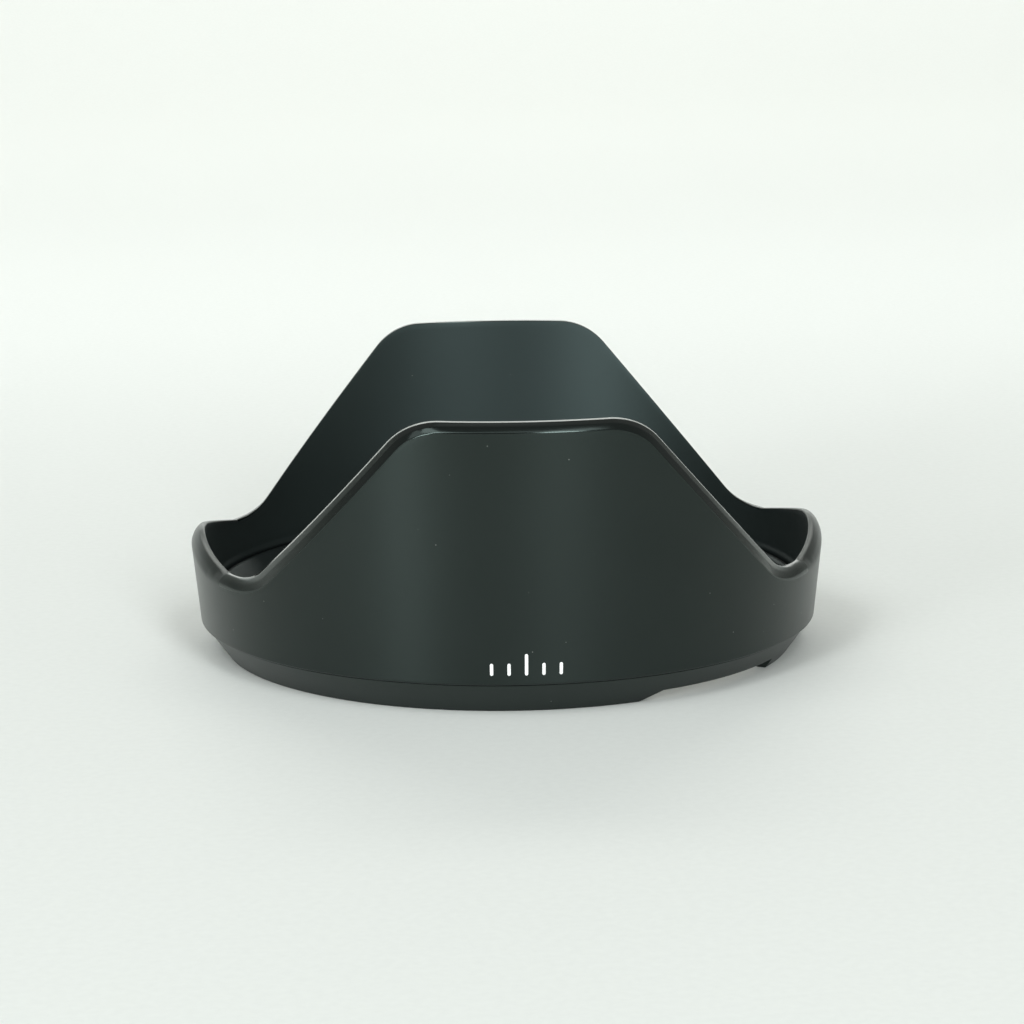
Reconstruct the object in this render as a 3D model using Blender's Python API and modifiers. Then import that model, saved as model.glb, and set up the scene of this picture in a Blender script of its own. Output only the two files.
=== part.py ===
"""Petal-shaped lens hood: a flared shell with two tall and two low petals, the bayonet ring
that carries it on the lens, and the white fill of its engraved index marks.

Metres, +Z up. The hood stands on its rear face at z = 0 and its axis is Z. The tall petals
face -Y (front) and +Y (back). Angles are in degrees, from -Y towards +X.
"""
import math

import bmesh
import bpy
from mathutils import Matrix, Vector

MM = 0.001

# Driving dimensions
REAR_RADIUS = 39.0 * MM  # outside of the bayonet ring at the rear face
TALL_HEIGHT = 38.2 * MM  # top of the tall petals
VALLEY_HEIGHT = 14.0 * MM  # lowest point of the rim, between two petals
SIDE_HEIGHT = 16.95 * MM  # top of the low petals
SEAM_HEIGHT = 4.22 * MM  # lower edge of the shell
GAP = 0.3 * MM  # clearance between the separate pieces

# Shell: two cones that both flare towards the rim
SHELL_RADIUS = 42.36 * MM  # outside, at the seam
SHELL_FLARE = 0.1016  # growth of the outer radius per height
RIM_RADIUS = 43.33 * MM  # inside, at the top of the tall petals
INNER_FLARE = 0.0824  # growth of the inner radius per height
SOCKET_RADIUS = 40.4 * MM  # bore that takes the ring's spigot
SOCKET_TOP = 8.7 * MM
SOCKET_LIP = 0.5 * MM  # height of the chamfer above the socket
LOWER_EDGE = 0.25 * MM  # chamfer on the shell's lower outer edge

# Outline of the tall petals, seen along Y
TALL_FLAT = 10.58 * MM  # half width of the straight top edge
SLOPE_ANGLE = math.radians(49.8)  # of the side edges, from the horizontal
TOP_FILLET = 8.4 * MM
VALLEY_FILLET = 4.9 * MM
# Outline of the low petals, seen along X
SIDE_SLOPE = 0.2
SIDE_FLAT = 2.65 * MM  # half width of the straight top edge

# Corners of the tall petals' outline before its fillets, as distances from the middle
TOP_CORNER = TALL_FLAT + TOP_FILLET * math.tan(SLOPE_ANGLE / 2)
VALLEY_CORNER = TOP_CORNER + (TALL_HEIGHT - VALLEY_HEIGHT) / math.tan(SLOPE_ANGLE)
VALLEY_FLAT = VALLEY_CORNER + VALLEY_FILLET * math.tan(SLOPE_ANGLE / 2)

# Rim: a flat land at the inner edge, then two facets down to the outer cone. All four edges are
# parallel outlines, cut straight through the wall.
LAND_SHARE = 0.43  # of the wall's thickness
UPPER_FACET_SHARE = 0.37
UPPER_DROP_SHARE = 0.39  # of the facets' height
RIM_DROP_TALL = 1.10 * MM  # how far the facets reach down a tall petal
RIM_DROP_SIDE = 1.80 * MM  # and a low petal

# Bayonet ring
RING_TOP_RADIUS = 41.9 * MM  # outside, below the seam: the shell stands proud of it
SPIGOT_TOP = 8.4 * MM
BORE_RADIUS = 37.6 * MM
LEDGE_RADIUS = 36.0 * MM  # inner edge of the ledge that stops the lens
LEDGE_LOW = 5.6 * MM
LEDGE_HIGH = 6.4 * MM
FUNNEL_RADIUS = 39.3 * MM  # inside, at the top of the spigot
REAR_EDGE = 0.2 * MM  # chamfers of the rear face
LUG_ANGLES = (0, 90, 180, 270)
LUG_SPAN = 22
LUG_RADIUS = 36.3 * MM
LUG_LOW = 0.7 * MM
LUG_HIGH = 2.3 * MM
LUG_ROOT = 0.6 * MM  # how far lugs and ribs start inside the ring's wall
STOP_SPAN = 2.5  # rib at the end of each lug that stops the twist
STOP_RADIUS = 36.7 * MM
RELIEF_ANGLES = (42.7, 222.7)  # middles of the two shallow cut-outs of the rear edge
RELIEF_SPAN = 31.6
RELIEF_HEIGHT = 1.32 * MM
RELIEF_LEAN = 3.5 / MM  # degrees per height that one end of a cut-out slopes
CUTTER_REACH = 1 * MM  # how far a cut-out's cutter reaches past the rear face

# Index marks: a row of upright strokes on the front petal, the middle one longer
MARK_HEIGHTS = (1.6 * MM, 1.6 * MM, 2.85 * MM, 1.6 * MM, 1.6 * MM)
MARK_PITCH = 2.2 * MM
MARK_WIDTH = 0.42 * MM
MARK_BASE = 5.55 * MM
MARK_THICKNESS = 0.2 * MM
MARK_CLEARANCE = 0.1 * MM  # round each stroke, in its recess

TURN_STEPS = 120
STATION_STEP = 2  # most degrees between two sections of the shell
RIM_PASSES = 8  # enough for a rim point's height and radius to agree
ARC_STEP = 2.5  # degrees between the points of an arc-shaped plate
ROUND_STEPS = 6  # points of each round end of a stroke


def clear_scene():
    for obj in list(bpy.data.objects):
        bpy.data.objects.remove(obj)


def collection(name):
    made = bpy.data.collections.new(name)
    bpy.context.scene.collection.children.link(made)
    return made


def plastic(name, colour, roughness):
    material = bpy.data.materials.new(name)
    material.use_nodes = True
    shader = material.node_tree.nodes["Principled BSDF"]
    shader.inputs["Base Color"].default_value = (*colour, 1)
    shader.inputs["Roughness"].default_value = roughness
    shader.inputs["Metallic"].default_value = 0
    return material


def add_object(name, mesh, group, material=None):
    obj = bpy.data.objects.new(name, mesh)
    group.objects.link(obj)
    if material:
        mesh.materials.append(material)
    return obj


def shade_round(obj):
    obj.data.shade_smooth()
    obj.data.set_sharp_from_angle(angle=math.radians(20))


def boolean(obj, other, operation):
    modifier = obj.modifiers.new(other.name, "BOOLEAN")
    modifier.object = other
    modifier.operation = operation
    modifier.solver = "EXACT"


def as_cutter(obj):
    obj.hide_render = True
    obj.display_type = "WIRE"


def polar(angle, radius, height):
    turn = math.radians(angle)
    return Vector((radius * math.sin(turn), -radius * math.cos(turn), height))


# Outline of the rim


def outer_radius(height):
    return SHELL_RADIUS + SHELL_FLARE * (height - SEAM_HEIGHT)


def inner_radius(height):
    return RIM_RADIUS + INNER_FLARE * (height - TALL_HEIGHT)


def tall_outline(x, inset=0.0):
    """Height of a tall petal's edge at this distance from its middle: top, arc, slope, arc, valley.
    An inset gives the parallel curve that far inside."""
    x = abs(x)
    top_radius = TOP_FILLET - inset
    valley_radius = VALLEY_FILLET + inset
    if x <= TALL_FLAT:
        return TALL_HEIGHT - inset
    if x <= TALL_FLAT + top_radius * math.sin(SLOPE_ANGLE):
        return TALL_HEIGHT - TOP_FILLET + math.sqrt(top_radius**2 - (x - TALL_FLAT) ** 2)
    if x <= VALLEY_FLAT - valley_radius * math.sin(SLOPE_ANGLE):
        slope_height = TALL_HEIGHT - (x - TOP_CORNER) * math.tan(SLOPE_ANGLE)
        return slope_height - inset / math.cos(SLOPE_ANGLE)
    if x <= VALLEY_FLAT:
        return VALLEY_HEIGHT + VALLEY_FILLET - math.sqrt(valley_radius**2 - (VALLEY_FLAT - x) ** 2)
    return VALLEY_HEIGHT - inset


def side_outline(y, inset=0.0):
    return SIDE_HEIGHT - SIDE_SLOPE * max(abs(y) - SIDE_FLAT, 0) - inset


def rim_point(angle, cone, outward=0.0, share=0.0):
    """A point of the rim, this far outside a cone. Share is how far down it lies, from the crest
    (0) to the foot of the facets (1)."""
    height = VALLEY_HEIGHT
    for _ in range(RIM_PASSES):
        point = polar(angle, cone(height) + outward, height)
        height = max(tall_outline(point.x, share * RIM_DROP_TALL),
                     side_outline(point.y, share * RIM_DROP_SIDE))
    return polar(angle, cone(height) + outward, height)


def outline_corners(cone, share):
    """Angles, from 0 to 90, where the crest or the foot changes from one curve to the next."""
    tall_inset = share * RIM_DROP_TALL
    side_inset = share * RIM_DROP_SIDE
    arc_end = TALL_FLAT + (TOP_FILLET - tall_inset) * math.sin(SLOPE_ANGLE)
    arc_start = VALLEY_FLAT - (VALLEY_FILLET + tall_inset) * math.sin(SLOPE_ANGLE)
    across = (TALL_FLAT, arc_end, arc_start, VALLEY_FLAT)
    rise = (SIDE_HEIGHT - side_inset) - (VALLEY_HEIGHT - tall_inset)
    along = (SIDE_FLAT + rise / SIDE_SLOPE, SIDE_FLAT)
    corners = [math.asin(x / cone(tall_outline(x, tall_inset))) for x in across]
    corners += [math.acos(y / cone(side_outline(y, side_inset))) for y in along]
    return [math.degrees(corner) for corner in corners]


def station_angles():
    """Angles of the shell's sections: the corners of crest and foot, and steps between them."""
    corners = {0.0, 90.0}
    for cone, share in ((inner_radius, 0), (outer_radius, 1)):
        corners.update(round(corner, 2) for corner in outline_corners(cone, share))
    corners = sorted(corners)
    quarter = []
    for start, end in zip(corners, corners[1:]):
        count = math.ceil((end - start) / STATION_STEP)
        quarter += [start + (end - start) * i / count for i in range(count)]
    half = quarter + [90] + [180 - angle for angle in reversed(quarter[1:])]
    return half + [180 + angle for angle in half]


# Pieces


def loft(name, loops, group, material):
    """A closed skin through loops of equally many points, the last loop joined to the first."""
    mesh = bmesh.new()
    rows = [[mesh.verts.new(point) for point in loop] for loop in loops]
    count = len(loops[0])
    for lower, upper in zip(rows, rows[1:] + rows[:1]):
        for i in range(count):
            j = (i + 1) % count
            mesh.faces.new((lower[i], lower[j], upper[j], upper[i]))
    bmesh.ops.recalc_face_normals(mesh, faces=mesh.faces)
    data = bpy.data.meshes.new(name)
    mesh.to_mesh(data)
    mesh.free()
    return add_object(name, data, group, material)


def turned(name, profile, group, material):
    """A solid of revolution about Z. The closed profile of (radius, height) points runs down its
    outer side."""
    mesh = bmesh.new()
    points = [mesh.verts.new((radius, 0, height)) for radius, height in profile]
    for first, second in zip(points, points[1:] + points[:1]):
        mesh.edges.new((first, second))
    data = bpy.data.meshes.new(name)
    mesh.to_mesh(data)
    mesh.free()
    obj = add_object(name, data, group, material)
    screw = obj.modifiers.new("turn", "SCREW")
    screw.steps = TURN_STEPS
    screw.render_steps = TURN_STEPS
    screw.use_merge_vertices = True
    screw.merge_threshold = 1e-6
    return obj


def plate(name, outline, thickness, group):
    """A flat plate, as a mesh: a closed outline in XY, half its thickness to each side."""
    curve = bpy.data.curves.new(name, "CURVE")
    curve.dimensions = "2D"
    curve.fill_mode = "BOTH"
    curve.extrude = thickness / 2
    spline = curve.splines.new("POLY")
    spline.points.add(len(outline) - 1)
    for point, (x, y) in zip(spline.points, outline):
        point.co = (x, y, 0, 1)
    spline.use_cyclic_u = True
    flat = bpy.data.objects.new(name + "_outline", curve)
    group.objects.link(flat)
    graph = bpy.context.evaluated_depsgraph_get()
    data = bpy.data.meshes.new_from_object(flat.evaluated_get(graph))
    data.name = name
    bpy.data.objects.remove(flat)
    mesh = bmesh.new()
    mesh.from_mesh(data)
    bmesh.ops.remove_doubles(mesh, verts=mesh.verts, dist=1e-7)
    bmesh.ops.recalc_face_normals(mesh, faces=mesh.faces)
    mesh.to_mesh(data)
    mesh.free()
    return add_object(name, data, group)


def arc_plate(name, radii, middle, span, heights, group):
    """A plate that follows a stretch of a ring, between two radii and two heights."""
    steps = math.ceil(span / ARC_STEP)
    angles = [middle + span * (i / steps - 0.5) for i in range(steps + 1)]
    inner = [polar(angle, radii[0], 0) for angle in angles]
    outer = [polar(angle, radii[1], 0) for angle in angles]
    outline = [(point.x, point.y) for point in inner + outer[::-1]]
    obj = plate(name, outline, heights[1] - heights[0], group)
    obj.data.transform(Matrix.Translation((0, 0, (heights[0] + heights[1]) / 2)))
    return obj


def lean_start(obj, middle, span, lean):
    """Slopes the first end of an arc-shaped plate: its lower corners move on by lean degrees."""
    start = polar(middle - span / 2, 1, 0)
    for vertex in obj.data.vertices:
        flat = Vector((vertex.co.x, vertex.co.y, 0))
        if vertex.co.z < 0 and flat.angle(start) < math.radians(ARC_STEP / 3):
            vertex.co = Matrix.Rotation(math.radians(-lean), 3, "Z") @ vertex.co


def stroke_outline(width, height):
    """A straight stroke with round ends, centred on the origin."""
    radius = width / 2
    outline = []
    for centre, first in ((height / 2 - radius, 0), (radius - height / 2, math.pi)):
        for i in range(ROUND_STEPS + 1):
            turn = first + math.pi * i / ROUND_STEPS
            outline.append((radius * math.cos(turn), centre + radius * math.sin(turn)))
    return outline


def mark_frame(index):
    """Where a stroke lies: x along the wall's girth, y up the wall, z out of it."""
    tilt = math.atan(SHELL_FLARE)
    height = MARK_BASE + MARK_HEIGHTS[index] / 2
    offset = (index - (len(MARK_HEIGHTS) - 1) / 2) * MARK_PITCH
    turn = math.degrees(offset / outer_radius(height))
    outward = polar(turn, 1, 0)
    up = math.sin(tilt) * outward + math.cos(tilt) * Vector((0, 0, 1))
    along = Vector((math.cos(math.radians(turn)), math.sin(math.radians(turn)), 0))
    axes = Matrix((along, up, along.cross(up))).transposed().to_4x4()
    return Matrix.Translation(polar(turn, outer_radius(height), height)) @ axes


def petal_shell(parts, cutters, material):
    stations = station_angles()
    edge = SEAM_HEIGHT + LOWER_EDGE
    lip = SOCKET_TOP + SOCKET_LIP
    crest = [rim_point(angle, inner_radius) for angle in stations]
    facet_foot = [rim_point(angle, outer_radius, share=1) for angle in stations]
    facet_middle = []
    land_edge = []
    for angle, inner, foot in zip(stations, crest, facet_foot):
        wall = math.hypot(foot.x, foot.y) - math.hypot(inner.x, inner.y)
        land_edge.append(rim_point(angle, inner_radius, wall * LAND_SHARE))
        facet_edge = wall * (LAND_SHARE + UPPER_FACET_SHARE)
        facet_middle.append(rim_point(angle, inner_radius, facet_edge, UPPER_DROP_SHARE))
    loops = [
        [polar(angle, SHELL_RADIUS - LOWER_EDGE, SEAM_HEIGHT) for angle in stations],
        [polar(angle, outer_radius(edge), edge) for angle in stations],
        facet_foot,
        facet_middle,
        land_edge,
        crest,
        [polar(angle, inner_radius(lip), lip) for angle in stations],
        [polar(angle, SOCKET_RADIUS, SOCKET_TOP) for angle in stations],
        [polar(angle, SOCKET_RADIUS, SEAM_HEIGHT) for angle in stations],
    ]
    shell = loft("petal_shell", loops, parts, material)
    depth = 2 * (MARK_THICKNESS + GAP)
    for index, height in enumerate(MARK_HEIGHTS):
        outline = stroke_outline(MARK_WIDTH + 2 * MARK_CLEARANCE, height + 2 * MARK_CLEARANCE)
        recess = plate(f"mark_recess_{index + 1}", outline, depth, cutters)
        recess.data.transform(mark_frame(index))
        as_cutter(recess)
        boolean(shell, recess, "DIFFERENCE")
    shade_round(shell)
    return shell


def bayonet_ring(parts, cutters, material):
    shelf = SEAM_HEIGHT - GAP
    spigot = SOCKET_RADIUS - GAP
    profile = (
        (spigot, SPIGOT_TOP), (spigot, shelf), (RING_TOP_RADIUS, shelf),
        (REAR_RADIUS + REAR_EDGE / 2, REAR_EDGE), (REAR_RADIUS - REAR_EDGE / 2, 0),
        (BORE_RADIUS + REAR_EDGE, 0), (BORE_RADIUS, REAR_EDGE),
        (BORE_RADIUS, LEDGE_LOW), (LEDGE_RADIUS, LEDGE_LOW), (LEDGE_RADIUS, LEDGE_HIGH),
        (FUNNEL_RADIUS, SPIGOT_TOP),
    )
    ring = turned("bayonet_ring", profile, parts, material)
    buried = BORE_RADIUS + LUG_ROOT
    for index, middle in enumerate(LUG_ANGLES):
        lug = arc_plate(f"lug_{index + 1}", (LUG_RADIUS, buried), middle, LUG_SPAN,
                        (LUG_LOW, LUG_HIGH), cutters)
        end = middle + (LUG_SPAN - STOP_SPAN) / 2
        rib = arc_plate(f"stop_rib_{index + 1}", (STOP_RADIUS, buried), end, STOP_SPAN,
                        ((LUG_LOW + LUG_HIGH) / 2, LEDGE_LOW + GAP), cutters)
        for solid in (lug, rib):
            as_cutter(solid)
            boolean(ring, solid, "UNION")
    for index, middle in enumerate(RELIEF_ANGLES):
        relief = arc_plate(f"relief_{index + 1}", (LEDGE_RADIUS, SHELL_RADIUS), middle, RELIEF_SPAN,
                           (-CUTTER_REACH, RELIEF_HEIGHT), cutters)
        lean_start(relief, middle, RELIEF_SPAN, RELIEF_LEAN * (RELIEF_HEIGHT + CUTTER_REACH))
        as_cutter(relief)
        boolean(ring, relief, "DIFFERENCE")
    shade_round(ring)
    return ring


def index_fill(index, parts, material):
    """The paint in one stroke's recess, flush with the wall."""
    outline = stroke_outline(MARK_WIDTH, MARK_HEIGHTS[index])
    fill = plate(f"index_fill_{index + 1}", outline, MARK_THICKNESS, parts)
    fill.data.materials.append(material)
    fill.data.transform(Matrix.Translation((0, 0, -MARK_THICKNESS / 2)))
    fill.matrix_world = mark_frame(index)
    return fill


def main():
    clear_scene()
    parts = collection("lens_hood")
    cutters = collection("lens_hood_cutters")
    base = bpy.data.objects.new("lens_hood_base", None)
    parts.objects.link(base)
    black = plastic("satin_black_plastic", (0.012, 0.014, 0.014), 0.45)
    white = plastic("white_paint", (0.8, 0.8, 0.78), 0.5)
    pieces = [petal_shell(parts, cutters, black), bayonet_ring(parts, cutters, black)]
    pieces += [index_fill(index, parts, white) for index in range(len(MARK_HEIGHTS))]
    for piece in pieces:
        piece.parent = base


main()
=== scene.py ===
"""Looks of the petal-shaped lens hood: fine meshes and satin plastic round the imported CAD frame.

Metres, +Z up, the hood on its rear face at z = 0 with its marked tall petal towards -Y.
Angles are in degrees, from -Y towards +X. Only those made with math.radians are in radians.
"""
import math

import bmesh
import bpy
from mathutils import Matrix, Vector


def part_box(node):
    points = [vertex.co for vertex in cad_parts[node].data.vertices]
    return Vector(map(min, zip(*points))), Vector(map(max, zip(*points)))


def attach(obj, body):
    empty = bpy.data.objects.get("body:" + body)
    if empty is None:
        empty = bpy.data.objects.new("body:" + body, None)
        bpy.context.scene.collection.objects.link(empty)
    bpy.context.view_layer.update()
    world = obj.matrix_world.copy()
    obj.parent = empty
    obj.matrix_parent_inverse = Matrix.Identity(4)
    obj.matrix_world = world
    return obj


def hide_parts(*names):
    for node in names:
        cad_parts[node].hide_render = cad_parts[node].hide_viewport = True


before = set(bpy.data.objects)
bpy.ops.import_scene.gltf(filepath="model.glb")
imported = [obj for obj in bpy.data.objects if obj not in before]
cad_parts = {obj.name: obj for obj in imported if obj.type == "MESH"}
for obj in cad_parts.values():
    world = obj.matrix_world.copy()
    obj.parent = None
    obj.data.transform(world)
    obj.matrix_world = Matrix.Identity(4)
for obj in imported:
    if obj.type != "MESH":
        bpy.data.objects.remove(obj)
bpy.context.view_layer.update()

MM = 0.001
BODY = "root"
shell_low, shell_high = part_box("petal_shell")
ring_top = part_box("bayonet_ring")[1].z
marks = [name for name in sorted(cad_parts) if name.startswith("index_fill_")]

# Shell, as in the CAD part: two cones, cut through by outlines seen along Y and along X
TALL_HEIGHT = shell_high.z
SEAM_HEIGHT = shell_low.z
VALLEY_HEIGHT = 14.0 * MM
SIDE_HEIGHT = 16.95 * MM
SHELL_RADIUS = 42.36 * MM  # outside, at the seam
SHELL_FLARE = 0.1016  # growth of the radius with height
RIM_RADIUS = 43.33 * MM  # inside, at the top of the tall petals
INNER_FLARE = 0.0824
SOCKET_RADIUS = 40.4 * MM  # the socket below the inner cone takes the ring's spigot
SOCKET_TOP = 8.7 * MM
SOCKET_LIP = 0.5 * MM  # height of the slope from the socket to the inner cone
UNDERSIDE_START = 0.6 * MM  # middle strip of the shell's underside, in from its outside
UNDERSIDE_END = 1.2 * MM
TALL_FLAT = 10.58 * MM  # half the width of a tall petal's straight top
SLOPE_ANGLE = math.radians(49.8)
TOP_FILLET = 8.4 * MM
VALLEY_FILLET = 4.9 * MM
SIDE_SLOPE = 0.2  # fall of a low petal's edge to each side of its flat top
SIDE_FLAT = 2.65 * MM  # half the width of that top
SIDE_ROUNDING = 0.25 * MM  # how far the low petals' two top corners are rounded down
TOP_CORNER = TALL_FLAT + TOP_FILLET * math.tan(SLOPE_ANGLE / 2)
VALLEY_CORNER = TOP_CORNER + (TALL_HEIGHT - VALLEY_HEIGHT) / math.tan(SLOPE_ANGLE)
VALLEY_FLAT = VALLEY_CORNER + VALLEY_FILLET * math.tan(SLOPE_ANGLE / 2)
LAND_SHARE = 0.40  # of the wall's thickness: the rim's flat top
UPPER_FACET_SHARE = 0.38  # and its upper facet, outside which the lower one lies
UPPER_DROP_SHARE = 0.39  # how much of the rim's drop the upper facet takes
RIM_DROP_TALL = 1.10 * MM  # how far the facets reach down the outside of a tall petal
RIM_DROP_SIDE = 1.80 * MM  # and of a low petal
RIM_PASSES = 8  # of the search for the rim's height at an angle

# Edge roundings of the shell: how far each reaches from its edge
CREST_ROUND = 0.10 * MM
LAND_ROUND = 0.10 * MM
FACET_ROUND = 0.12 * MM
FOOT_ROUND = 0.15 * MM
SOFT_RIM = 3.0  # how much rounder the edges are in the valleys and on the low petals
SOFT_FROM = 50  # degrees from a tall petal's middle
SOFT_TO = 60
LOW_PETAL_FROM = 65  # beyond this the rim has the wall's finish
LOWER_ROUND = 0.22 * MM
WALL_BACKING = 1.0 * MM  # wall next to a rounded edge that belongs to the edge's own points

# Ring
SHELF_GAP = 0.14 * MM  # seam that shows between shell and ring
RING_TOP_RADIUS = 41.9 * MM
REAR_RADIUS = 39.0 * MM
BORE_RADIUS = 37.6 * MM
LEDGE_RADIUS = 36.0 * MM
LEDGE_LOW = 5.6 * MM
LEDGE_HIGH = 6.4 * MM
FUNNEL_RADIUS = 39.3 * MM
SPIGOT_GAP = 0.3 * MM
SPIGOT_TOP_START = 0.4 * MM  # where the ring's section starts, in from the spigot's outside
RING_ROUND = 0.18 * MM
LUG_ANGLES = (0, 90, 180, 270)
LUG_SPAN = 22
LUG_RADIUS = 36.3 * MM
LUG_LOW = 0.7 * MM
LUG_HIGH = 2.3 * MM
LUG_ROOT = 0.6 * MM  # how far lugs and ribs reach into the ring
STOP_SPAN = 2.5
STOP_RADIUS = 36.7 * MM
RELIEF_ANGLES = (42.7, 222.7)  # middles of the cut-outs in the rear edge
RELIEF_SPAN = 31.6
RELIEF_HEIGHT = 1.32 * MM
RELIEF_RAMP = 4.6  # degrees over which the cut-out's first end slopes
RELIEF_WALL = 0.12  # and its other end

# Camera, as the hood stands in the view
CAMERA_PLACE = (-22.8 * MM, -423.8 * MM, 105.6 * MM)
CAMERA_HEADING = 3.18  # degrees from +Y towards +X
CAMERA_PITCH = 11.69  # degrees down
CAMERA_ROLL = 0.62
CAMERA_LENS = 110.27  # millimetres, as the sensor's width
CAMERA_SENSOR = 36

# Fineness of the meshes
STATIONS = 720  # sections round the axis
CORNER_STEPS = 4
WALL_STEPS = 10
FUNNEL_STRIPS = CORNER_STEPS + 2  # of the ring's section: ledge to funnel, funnel, spigot's top
SHARP_ANGLE = 35  # between two faces, above which their edge is shaded sharp
BEVEL_STEPS = 3
BEVEL_FROM = 40  # the sharpness from which a lug's or rib's edge is bevelled

# Slots of the materials on the shell and the ring
WALL_SLOT = 0
INSIDE_SLOT = 1
RIM_SLOT = 2


def polar(angle, radius, height):
    turn = math.radians(angle)
    return Vector((radius * math.sin(turn), -radius * math.cos(turn), height))


# Outline of the rim


def outer_radius(height):
    return SHELL_RADIUS + SHELL_FLARE * (height - SEAM_HEIGHT)


def inner_radius(height):
    return RIM_RADIUS + INNER_FLARE * (height - TALL_HEIGHT)


def tall_outline(x, inset=0.0):
    """Height of a tall petal's edge at this distance from its middle: top, arc, slope, arc, valley.
    An inset gives the parallel curve that far inside."""
    x = abs(x)
    top_radius = TOP_FILLET - inset
    valley_radius = VALLEY_FILLET + inset
    if x <= TALL_FLAT:
        return TALL_HEIGHT - inset
    if x <= TALL_FLAT + top_radius * math.sin(SLOPE_ANGLE):
        return TALL_HEIGHT - TOP_FILLET + math.sqrt(top_radius**2 - (x - TALL_FLAT) ** 2)
    if x <= VALLEY_FLAT - valley_radius * math.sin(SLOPE_ANGLE):
        slope_height = TALL_HEIGHT - (x - TOP_CORNER) * math.tan(SLOPE_ANGLE)
        return slope_height - inset / math.cos(SLOPE_ANGLE)
    if x <= VALLEY_FLAT:
        return VALLEY_HEIGHT + VALLEY_FILLET - math.sqrt(valley_radius**2 - (VALLEY_FLAT - x) ** 2)
    return VALLEY_HEIGHT - inset


def side_outline(y, inset=0.0):
    """Height of a low petal's edge: a flat top and two straight slopes, with the corners eased.
    An inset lowers it."""
    past = abs(y) - SIDE_FLAT
    eased = (past + math.sqrt(past**2 + (2 * SIDE_ROUNDING / SIDE_SLOPE) ** 2)) / 2
    return SIDE_HEIGHT - SIDE_SLOPE * eased - inset


def rim_point(angle, cone, outward=0.0, share=0.0):
    """A point of the rim on a cone, or this far outside it. Share is how far down the rim's drop
    it is, from the crest (0) to the foot (1)."""
    height = VALLEY_HEIGHT
    for _ in range(RIM_PASSES):
        point = polar(angle, cone(height) + outward, height)
        height = max(tall_outline(point.x, share * RIM_DROP_TALL),
                     side_outline(point.y, share * RIM_DROP_SIDE))
    return polar(angle, cone(height) + outward, height)


def rounded(corners, reaches):
    """The polyline through these corners, each but the first and last turned into a short curve
    that starts and ends its reach away."""
    points = [corners[0]]
    for before, corner, after, reach in zip(corners, corners[1:], corners[2:], reaches):
        start = corner + (before - corner).normalized() * reach
        end = corner + (after - corner).normalized() * reach
        for i in range(CORNER_STEPS + 1):
            t = i / CORNER_STEPS
            points.append(start * (1 - t) ** 2 + corner * 2 * t * (1 - t) + end * t**2)
    points.append(corners[-1])
    return points


# Meshes


def mesh_object(name, mesh, materials):
    bmesh.ops.recalc_face_normals(mesh, faces=mesh.faces)
    data = bpy.data.meshes.new(name)
    mesh.to_mesh(data)
    mesh.free()
    for material in materials:
        data.materials.append(material)
    obj = bpy.data.objects.new(name, data)
    bpy.context.scene.collection.objects.link(obj)
    return obj


def loft(name, sections, materials, slots):
    """A closed ring of closed sections, each with the same number of points. For each section,
    slots gives the material of each strip between two neighbouring points."""
    mesh = bmesh.new()
    rows = [[mesh.verts.new(point) for point in section] for section in sections]
    count = len(sections[0])
    for this, following, section_slots in zip(rows, rows[1:] + rows[:1], slots):
        for i in range(count):
            j = (i + 1) % count
            face = mesh.faces.new((this[i], this[j], following[j], following[i]))
            face.smooth = True
            face.material_index = section_slots[i]
    return mesh_object(name, mesh, materials)


def soften(obj):
    """Smooth shading that keeps flat faces flat beside small roundings."""
    obj.data.set_sharp_from_angle(angle=math.radians(SHARP_ANGLE))
    modifier = obj.modifiers.new("even_normals", "WEIGHTED_NORMAL")
    modifier.keep_sharp = True


def on_cone(angle, cone, height):
    return polar(angle, cone(height), height)


def from_tall_petal(angle):
    """Degrees between this angle and the middle of the nearer tall petal."""
    return min(angle % 180, -angle % 180)


def shell_section(angle):
    """One section of the shell, from the socket up inside, over the rim and down outside, in five
    runs of points."""
    inner_edge = rim_point(angle, inner_radius)
    foot = rim_point(angle, outer_radius, share=1.0)
    wall = math.hypot(foot.x, foot.y) - math.hypot(inner_edge.x, inner_edge.y)
    facet_edge = wall * (LAND_SHARE + UPPER_FACET_SHARE)
    soft = min(max((from_tall_petal(angle) - SOFT_FROM) / (SOFT_TO - SOFT_FROM), 0), 1)
    ease = 1 + (SOFT_RIM - 1) * soft
    rim = rounded(
        [on_cone(angle, inner_radius, inner_edge.z - WALL_BACKING), inner_edge,
         rim_point(angle, inner_radius, wall * LAND_SHARE),
         rim_point(angle, inner_radius, facet_edge, UPPER_DROP_SHARE),
         foot, on_cone(angle, outer_radius, foot.z - WALL_BACKING)],
        [CREST_ROUND * ease, LAND_ROUND * ease, FACET_ROUND * ease, FOOT_ROUND * ease])
    lip_height = SOCKET_TOP + SOCKET_LIP
    above_lip = lip_height + WALL_BACKING
    low_wall = SEAM_HEIGHT + 2 * LOWER_ROUND
    socket = rounded(
        [polar(angle, SHELL_RADIUS - UNDERSIDE_END, SEAM_HEIGHT),
         polar(angle, SOCKET_RADIUS, SEAM_HEIGHT), polar(angle, SOCKET_RADIUS, SOCKET_TOP),
         on_cone(angle, inner_radius, lip_height), on_cone(angle, inner_radius, above_lip)],
        [LOWER_ROUND, LOWER_ROUND, LOWER_ROUND])
    lower_edge = rounded(
        [on_cone(angle, outer_radius, low_wall), polar(angle, SHELL_RADIUS, SEAM_HEIGHT),
         polar(angle, SHELL_RADIUS - UNDERSIDE_START, SEAM_HEIGHT)], [LOWER_ROUND])
    inside = wall_between(angle, socket[-1], rim[0], inner_radius)
    outside = wall_between(angle, rim[-1], lower_edge[0], outer_radius)
    return socket, inside, rim, outside, lower_edge


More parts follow.
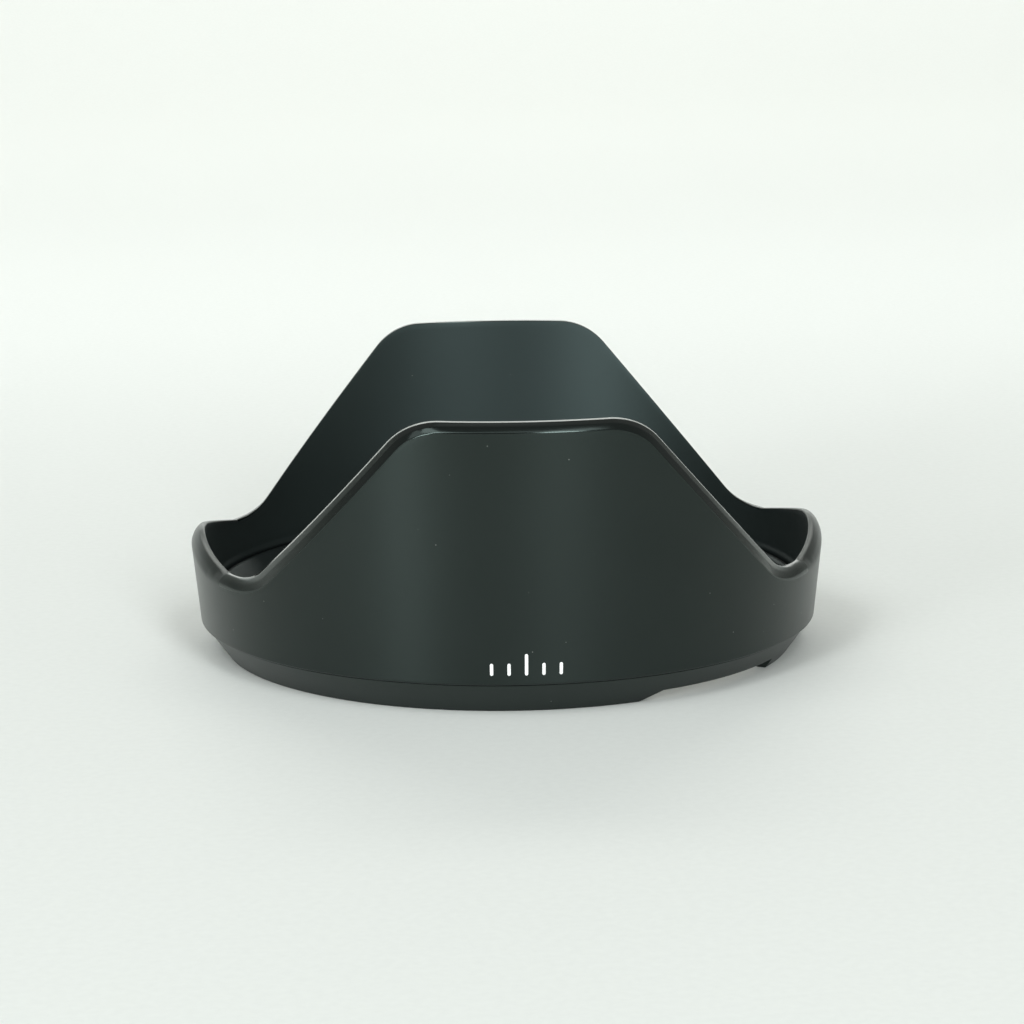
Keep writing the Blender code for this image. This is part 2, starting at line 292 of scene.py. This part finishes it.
def wall_between(angle, start, end, cone):
    """Points evenly up or down a cone between two points of it."""
    heights = [start.z + (end.z - start.z) * i / WALL_STEPS for i in range(1, WALL_STEPS)]
    return [on_cone(angle, cone, height) for height in heights]


def make_shell(wall, inside_finish, rim_finish):
    """Up to the crest, a section's strips have the inside's finish. From there to the foot they
    have the rim's, except on the low petals, and then the wall's."""
    sections = []
    slots = []
    for i in range(STATIONS):
        angle = 360 * i / STATIONS
        parts = shell_section(angle)
        sections.append([point for part in parts for point in part])
        socket, inside, rim, outside, lower_edge = parts
        rim_slot = WALL_SLOT if from_tall_petal(angle) > LOW_PETAL_FROM else RIM_SLOT
        slots.append([INSIDE_SLOT] * (len(socket) + len(inside) + 1) + [rim_slot] * (len(rim) - 3)
                     + [WALL_SLOT] * (len(outside) + len(lower_edge) + 2))
    shell = loft("hood_shell", sections, [wall, inside_finish, rim_finish], slots)
    soften(shell)
    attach(shell, BODY)
    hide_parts("petal_shell")


def relief_height(angle):
    """Height of the ring's rear edge at this angle."""
    for middle in RELIEF_ANGLES:
        along = (angle - middle + 180) % 360 - 180 + RELIEF_SPAN / 2
        if -RELIEF_RAMP < along <= 0:
            return RELIEF_HEIGHT * (1 + along / RELIEF_RAMP)
        if 0 < along <= RELIEF_SPAN:
            return RELIEF_HEIGHT
        if RELIEF_SPAN < along < RELIEF_SPAN + RELIEF_WALL:
            return RELIEF_HEIGHT * (1 - (along - RELIEF_SPAN) / RELIEF_WALL)
    return 0


def ring_section(angle):
    """One section of the ring, from the top of the spigot down outside and up inside."""
    rear = relief_height(angle)
    shelf = SEAM_HEIGHT - SHELF_GAP
    spigot = SOCKET_RADIUS - SPIGOT_GAP
    flare = (RING_TOP_RADIUS - REAR_RADIUS) / shelf
    corners = [
        polar(angle, spigot - SPIGOT_TOP_START, ring_top), polar(angle, spigot, ring_top),
        polar(angle, spigot, shelf), polar(angle, RING_TOP_RADIUS, shelf),
        polar(angle, REAR_RADIUS + flare * rear, rear), polar(angle, BORE_RADIUS, rear),
        polar(angle, BORE_RADIUS, LEDGE_LOW), polar(angle, LEDGE_RADIUS, LEDGE_LOW),
        polar(angle, LEDGE_RADIUS, LEDGE_HIGH), polar(angle, FUNNEL_RADIUS, ring_top),
    ]
    return rounded(corners, [RING_ROUND] * (len(corners) - 2))


def make_ring(wall, inside_finish):
    """The ring has extra sections where the ends of a cut-out start and stop."""
    angles = {round(360 * i / STATIONS, 3) for i in range(STATIONS)}
    for middle in RELIEF_ANGLES:
        start = middle - RELIEF_SPAN / 2
        for edge in (start - RELIEF_RAMP, start, start + RELIEF_SPAN, start + RELIEF_SPAN + RELIEF_WALL):
            angles.add(round(edge % 360, 3))
    sections = [ring_section(angle) for angle in sorted(angles)]
    wall_strips = len(sections[0]) - FUNNEL_STRIPS
    slots = [[WALL_SLOT] * wall_strips + [INSIDE_SLOT] * FUNNEL_STRIPS] * len(sections)
    ring = loft("hood_ring", sections, [wall, inside_finish], slots)
    soften(ring)
    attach(ring, BODY)
    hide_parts("bayonet_ring")


def arc_bar(name, radii, heights, middle, span, material):
    """A bar that follows a stretch of the bore, with bevelled edges."""
    inner, outer = radii
    low, high = heights
    corners = ((outer, low), (inner, low), (inner, high), (outer, high))
    steps = max(2, math.ceil(span))
    mesh = bmesh.new()
    rows = []
    for i in range(steps + 1):
        angle = middle + span * (i / steps - 0.5)
        rows.append([mesh.verts.new(polar(angle, radius, height)) for radius, height in corners])
    for this, following in zip(rows, rows[1:]):
        for i in range(4):
            j = (i + 1) % 4
            mesh.faces.new((this[i], this[j], following[j], following[i]))
    mesh.faces.new(rows[0])
    mesh.faces.new(rows[-1][::-1])
    for face in mesh.faces:
        face.smooth = True
    bar = mesh_object(name, mesh, [material])
    bevel = bar.modifiers.new("edges", "BEVEL")
    bevel.width = RING_ROUND
    bevel.segments = BEVEL_STEPS
    bevel.limit_method = "ANGLE"
    bevel.angle_limit = math.radians(BEVEL_FROM)
    soften(bar)
    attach(bar, BODY)


def make_lugs(wall):
    """Four bayonet lugs, each with a rib above its end that stops the twist."""
    root = BORE_RADIUS + LUG_ROOT
    for index, middle in enumerate(LUG_ANGLES):
        arc_bar(f"bayonet_lug_{index + 1}", (LUG_RADIUS, root), (LUG_LOW, LUG_HIGH),
                middle, LUG_SPAN, wall)
        arc_bar(f"stop_rib_{index + 1}", (STOP_RADIUS, root), ((LUG_LOW + LUG_HIGH) / 2, LEDGE_LOW),
                middle + (LUG_SPAN - STOP_SPAN) / 2, STOP_SPAN, wall)


STROKE_RADIUS = 0.21 * MM  # half the width of a mark's stroke
STROKE_DEPTH = 0.1 * MM  # how far it reaches into the wall
STROKE_PROUD = 0.02 * MM  # and out of it
STROKE_EDGE = 0.03 * MM  # width of the slope round its face
STROKE_ROUND_STEPS = 10


def stroke(mesh, low, high):
    """One upright painted stroke on the outer cone, as high as the box of its CAD node."""
    height = high.z - low.z
    middle = (low + high) / 2
    turn = math.degrees(math.atan2(middle.x, -middle.y))
    reach = height / 2 - STROKE_RADIUS
    outline = []
    for centre, first in ((reach, 0), (-reach, math.pi)):
        for i in range(STROKE_ROUND_STEPS + 1):
            swing = first + math.pi * i / STROKE_ROUND_STEPS
            outline.append((math.cos(swing), centre, math.sin(swing)))

    def row(inset, lift):
        points = []
        for across, centre, up in outline:
            z = middle.z + centre + (STROKE_RADIUS - inset) * up
            girth = math.degrees((STROKE_RADIUS - inset) * across / outer_radius(z))
            points.append(mesh.verts.new(polar(turn + girth, outer_radius(z) + lift, z)))
        return points

    rows = [row(0, -STROKE_DEPTH), row(0, STROKE_PROUD / 2), row(STROKE_EDGE, STROKE_PROUD)]
    count = len(outline)
    for this, following in zip(rows, rows[1:]):
        for i in range(count):
            j = (i + 1) % count
            mesh.faces.new((this[i], this[j], following[j], following[i]))
    mesh.faces.new(rows[0][::-1])
    mesh.faces.new(rows[-1])


def make_marks(paint):
    mesh = bmesh.new()
    for name in marks:
        stroke(mesh, *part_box(name))
    obj = mesh_object("index_marks", mesh, [paint])
    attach(obj, BODY)
    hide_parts(*marks)


# Materials

BLACK_TINT = (0.9, 1.05, 1.05)
GLOSS_TINT = (0.78, 1.0, 0.92, 1)
INNER_GLOSS_TINT = (0.73, 1.0, 0.96, 1)
DUST_COLOUR = (0.35, 0.36, 0.34, 1)
TONE_SPREAD = 0.2  # how far the cloudy tone goes to each side of the middle one
ROUGHNESS_SPREAD = 0.03
ALONG_AXIS = 0.25  # quarter of a turn, which stretches the sheen along the hood's axis
CLOUD_SCALE = 60  # scales count features in a metre
PATCH_SCALE = 25
FINE_GRAIN_SCALE = 5200
FINE_GRAIN_ROUGHNESS = 0.6
COARSE_GRAIN_SCALE = 1600
DUST_SCALE = 420
DUST_SIZE = 0.035  # radius of a speck, in cells
NOISE_LOW = 0.3  # the middle range of a noise, which is stretched to the whole one
NOISE_HIGH = 0.7
MIX_SHARE = 0  # sockets of a colour mix
MIX_FIRST = 6
MIX_SECOND = 7
MIX_RESULT = 2


def new_material(name):
    material = bpy.data.materials.new(name)
    material.use_nodes = True
    tree = material.node_tree
    return material, tree, tree.nodes["Principled BSDF"]


def node(tree, kind, inputs=(), **settings):
    """A new node. An input is a value, or the socket that feeds it."""
    made = tree.nodes.new(kind)
    for key, value in settings.items():
        setattr(made, key, value)
    for key, value in inputs:
        if isinstance(value, bpy.types.NodeSocket):
            tree.links.new(value, made.inputs[key])
        else:
            made.inputs[key].default_value = value
    return made


def noise(tree, scale, detail, roughness=0.5):
    place = node(tree, "ShaderNodeTexCoord").outputs["Object"]
    return node(tree, "ShaderNodeTexNoise",
                (("Vector", place), ("Scale", scale), ("Detail", detail), ("Roughness", roughness)))


def ramp(tree, value, low, high, to_low=0.0, to_high=1.0):
    return node(tree, "ShaderNodeMapRange",
                (("Value", value), ("From Min", low), ("From Max", high),
                 ("To Min", to_low), ("To Max", to_high))).outputs["Result"]


def mixed(tree, share, first, second):
    made = node(tree, "ShaderNodeMix", ((MIX_SHARE, share), (MIX_FIRST, first), (MIX_SECOND, second)),
                data_type="RGBA")
    return made.outputs[MIX_RESULT]


def dust(tree, keep):
    """Specks: the middles of this share of the cells of a Voronoi pattern."""
    place = node(tree, "ShaderNodeTexCoord").outputs["Object"]
    cells = node(tree, "ShaderNodeTexVoronoi", (("Vector", place), ("Scale", DUST_SCALE)))
    near = ramp(tree, cells.outputs["Distance"], DUST_SIZE, 0.0)
    chosen = node(tree, "ShaderNodeSeparateColor", (("Color", cells.outputs["Color"]),)).outputs[0]
    kept = node(tree, "ShaderNodeMath", ((0, chosen), (1, keep)), operation="LESS_THAN").outputs[0]
    return node(tree, "ShaderNodeMath", ((0, near), (1, kept)), operation="MULTIPLY").outputs[0]


def plastic(name, tone, roughness, grain_depth, specks, turned=0.0, gloss=0.5, tint=GLOSS_TINT):
    """Black moulded plastic: cloudy tone, fine spark-eroded grain and a little dust. Where the mould
    was turned, the sheen spreads along the axis more than round it."""
    material, tree, shader = new_material(name)
    clouds = noise(tree, CLOUD_SCALE, detail=3).outputs["Fac"]
    dark = [(1 - TONE_SPREAD) * tone * part for part in BLACK_TINT] + [1]
    light = [(1 + TONE_SPREAD) * tone * part for part in BLACK_TINT] + [1]
    body = mixed(tree, ramp(tree, clouds, NOISE_LOW, NOISE_HIGH), dark, light)
    powder = mixed(tree, dust(tree, specks), body, DUST_COLOUR)
    tree.links.new(powder, shader.inputs["Base Color"])
    patches = noise(tree, PATCH_SCALE, detail=4).outputs["Fac"]
    rough = ramp(tree, patches, NOISE_LOW, NOISE_HIGH,
                 roughness - ROUGHNESS_SPREAD, roughness + ROUGHNESS_SPREAD)
    tree.links.new(rough, shader.inputs["Roughness"])
    shader.inputs["Anisotropic"].default_value = turned
    shader.inputs["Anisotropic Rotation"].default_value = ALONG_AXIS
    shader.inputs["Specular IOR Level"].default_value = gloss
    shader.inputs["Specular Tint"].default_value = tint
    fine = noise(tree, FINE_GRAIN_SCALE, detail=2, roughness=FINE_GRAIN_ROUGHNESS).outputs["Fac"]
    coarse = noise(tree, COARSE_GRAIN_SCALE, detail=2).outputs["Fac"]
    both = node(tree, "ShaderNodeMath", ((0, fine), (1, coarse)), operation="ADD").outputs[0]
    bump = node(tree, "ShaderNodeBump",
                (("Strength", 1.0), ("Distance", grain_depth), ("Height", both)))
    tree.links.new(bump.outputs["Normal"], shader.inputs["Normal"])
    return material


def matt_coat(name, scale, detail, low, high, dark, light, roughness):
    """A matt surface whose tone wavers between two colours."""
    material, tree, shader = new_material(name)
    waver = noise(tree, scale, detail).outputs["Fac"]
    tone = mixed(tree, ramp(tree, waver, low, high), dark, light)
    tree.links.new(tone, shader.inputs["Base Color"])
    shader.inputs["Roughness"].default_value = roughness
    return material


def white_paint():
    return matt_coat("white_paint", scale=2500, detail=3, low=0.35, high=0.65,
                     dark=(0.80, 0.81, 0.80, 1), light=(0.90, 0.91, 0.90, 1), roughness=0.5)


def floor_paint():
    return matt_coat("pale_sweep", scale=900, detail=4, low=NOISE_LOW, high=NOISE_HIGH,
                     dark=(0.768, 0.80, 0.756, 1), light=(0.792, 0.825, 0.78, 1), roughness=0.75)


# Stage, lights and camera

SWEEP_START = 0.9  # where the floor begins to rise, well behind the hood
SWEEP_RADIUS = 0.9
SWEEP_SLOPE = math.radians(55)
SWEEP_LENGTH = 2.0
SWEEP_TURN = math.radians(7)
SWEEP_STEPS = 24
STAGE_FRONT = -2.5
STAGE_WIDTH = 7.0
ROOM_COLOUR = (0.98, 1.0, 0.96, 1)
ROOM_STRENGTH = 0.28
WARM = (1.0, 0.975, 0.94)
DAYLIGHT = (0.95, 0.97, 1.0)
# Name, heading and rise as seen from the hood, distance, (width, height), power and colour of the
# panels that face it. The ceiling ones light the rim's lower facet, the rear ones its flat top.
PANELS = (
    ("rear_low", 172, 15, 1.6, (1.2, 0.3), 0.9, WARM),
    ("rear_high", 180, 40, 1.6, (1.4, 0.3), 5.2, WARM),
    ("high_middle", -34, 40, 1.8, (0.35, 0.7), 6.6, DAYLIGHT),
    ("high_left", -66, 42, 1.8, (1.0, 0.5), 1.9, DAYLIGHT),
    ("high_right", 18, 40, 1.8, (0.35, 0.7), 6.8, DAYLIGHT),
    ("ceiling_left", -48, 57, 1.8, (1.1, 0.3), 3.2, DAYLIGHT),
    ("ceiling_middle", 4, 59, 1.8, (0.8, 0.3), 1.3, DAYLIGHT),
    ("ceiling_right", 32, 58, 1.8, (0.4, 0.3), 1.1, DAYLIGHT),
    ("window", -38, 10, 1.8, (0.4, 0.6), 10.0, DAYLIGHT),
    ("far_left", -57, 10, 1.8, (0.4, 0.6), 1.2, DAYLIGHT),
    ("front_right", 15, 20, 1.8, (0.4, 0.5), 9.8, DAYLIGHT),
)
# Name, place, target, (width, depth), power and spread of the lamps that even out the floor and the
# backdrop. Their louvres leave open a cone of that many degrees, which hardly touches the hood.
LOUVRED_LAMPS = (
    ("floor_behind", (0, 0.3, 0.7), (0, 0.3, 0), (0.8, 0.1), 0.09, 44),
    ("backdrop_near", (0, 0.5, 0.9), (0, 0.5, 0), (2.0, 0.2), 0.7, 60),
    ("backdrop_middle", (0, 0.95, 0.9), (0, 0.95, 0), (2.0, 0.3), 0.8, 60),
    ("backdrop_far", (0, 1.5, 1.0), (0, 1.7, 0.2), (2.4, 0.5), 4.2, 70),
)
OPEN_SPREAD = 180


def make_stage():
    """A floor that bends up into a leaning backdrop."""
    line = [(STAGE_FRONT, 0.0), (SWEEP_START, 0.0)]
    for i in range(1, SWEEP_STEPS + 1):
        turn = SWEEP_SLOPE * i / SWEEP_STEPS
        line.append((SWEEP_START + SWEEP_RADIUS * math.sin(turn), SWEEP_RADIUS * (1 - math.cos(turn))))
    bend = line[-1]
    line.append((bend[0] + SWEEP_LENGTH * math.cos(SWEEP_SLOPE),
                 bend[1] + SWEEP_LENGTH * math.sin(SWEEP_SLOPE)))
    mesh = bmesh.new()
    rows = [[mesh.verts.new((side * STAGE_WIDTH / 2, y, z)) for side in (-1, 1)] for y, z in line]
    for this, following in zip(rows, rows[1:]):
        face = mesh.faces.new((this[0], this[1], following[1], following[0]))
        face.smooth = True
    sweep = mesh_object("sweep", mesh, [floor_paint()])
    sweep.rotation_euler.z = SWEEP_TURN


def lamp(name, place, target, size, power, colour, spread):
    """A rectangular light that faces a target and shines into a cone of this many degrees."""
    light = bpy.data.lights.new(name, "AREA")
    light.shape = "RECTANGLE"
    light.size, light.size_y = size
    light.energy = power
    light.color = colour
    light.spread = math.radians(spread)
    obj = bpy.data.objects.new(name, light)
    bpy.context.scene.collection.objects.link(obj)
    obj.location = place
    obj.rotation_euler = (Vector(target) - Vector(place)).to_track_quat("-Z", "Y").to_euler()


def panel(name, heading, rise, distance, size, power, colour):
    """An open light that faces the hood."""
    tilt = math.radians(rise)
    place = polar(heading, distance * math.cos(tilt), distance * math.sin(tilt))
    lamp(name, place, (0, 0, 0), size, power, colour, OPEN_SPREAD)


def make_lights():
    world = bpy.data.worlds.new("soft_room")
    world.use_nodes = True
    background = world.node_tree.nodes["Background"]
    background.inputs["Color"].default_value = ROOM_COLOUR
    background.inputs["Strength"].default_value = ROOM_STRENGTH
    bpy.context.scene.world = world
    bpy.context.scene.view_settings.view_transform = "Standard"
    for row in PANELS:
        panel(*row)
    for name, place, target, size, power, spread in LOUVRED_LAMPS:
        lamp(name, place, target, size, power, DAYLIGHT, spread)


def make_camera():
    camera = bpy.data.cameras.new("camera")
    camera.lens = CAMERA_LENS
    camera.sensor_width = CAMERA_SENSOR
    obj = bpy.data.objects.new("camera", camera)
    bpy.context.scene.collection.objects.link(obj)
    heading = Matrix.Rotation(math.radians(-CAMERA_HEADING), 4, "Z")
    tilt = Matrix.Rotation(math.radians(90 - CAMERA_PITCH), 4, "X")
    roll = Matrix.Rotation(math.radians(-CAMERA_ROLL), 4, "Z")
    obj.matrix_world = Matrix.Translation(CAMERA_PLACE) @ heading @ tilt @ roll
    bpy.context.scene.camera = obj


def main():
    wall = plastic("satin_plastic", tone=0.004, roughness=0.36, grain_depth=0.004 * MM, specks=0.5,
                   turned=0.7, gloss=0.45)
    inside_finish = plastic("matte_inside", tone=0.004, roughness=0.46, grain_depth=0.004 * MM,
                            specks=0.3, gloss=0.6, tint=INNER_GLOSS_TINT)
    rim_finish = plastic("polished_rim", tone=0.003, roughness=0.13, grain_depth=0.0004 * MM,
                         specks=0.6)
    ring_finish = plastic("ring_plastic", tone=0.004, roughness=0.38, grain_depth=0.004 * MM,
                          specks=0.4, turned=0.6)
    make_shell(wall, inside_finish, rim_finish)
    make_ring(ring_finish, inside_finish)
    make_lugs(ring_finish)
    make_marks(white_paint())
    make_stage()
    make_lights()
    make_camera()


main()
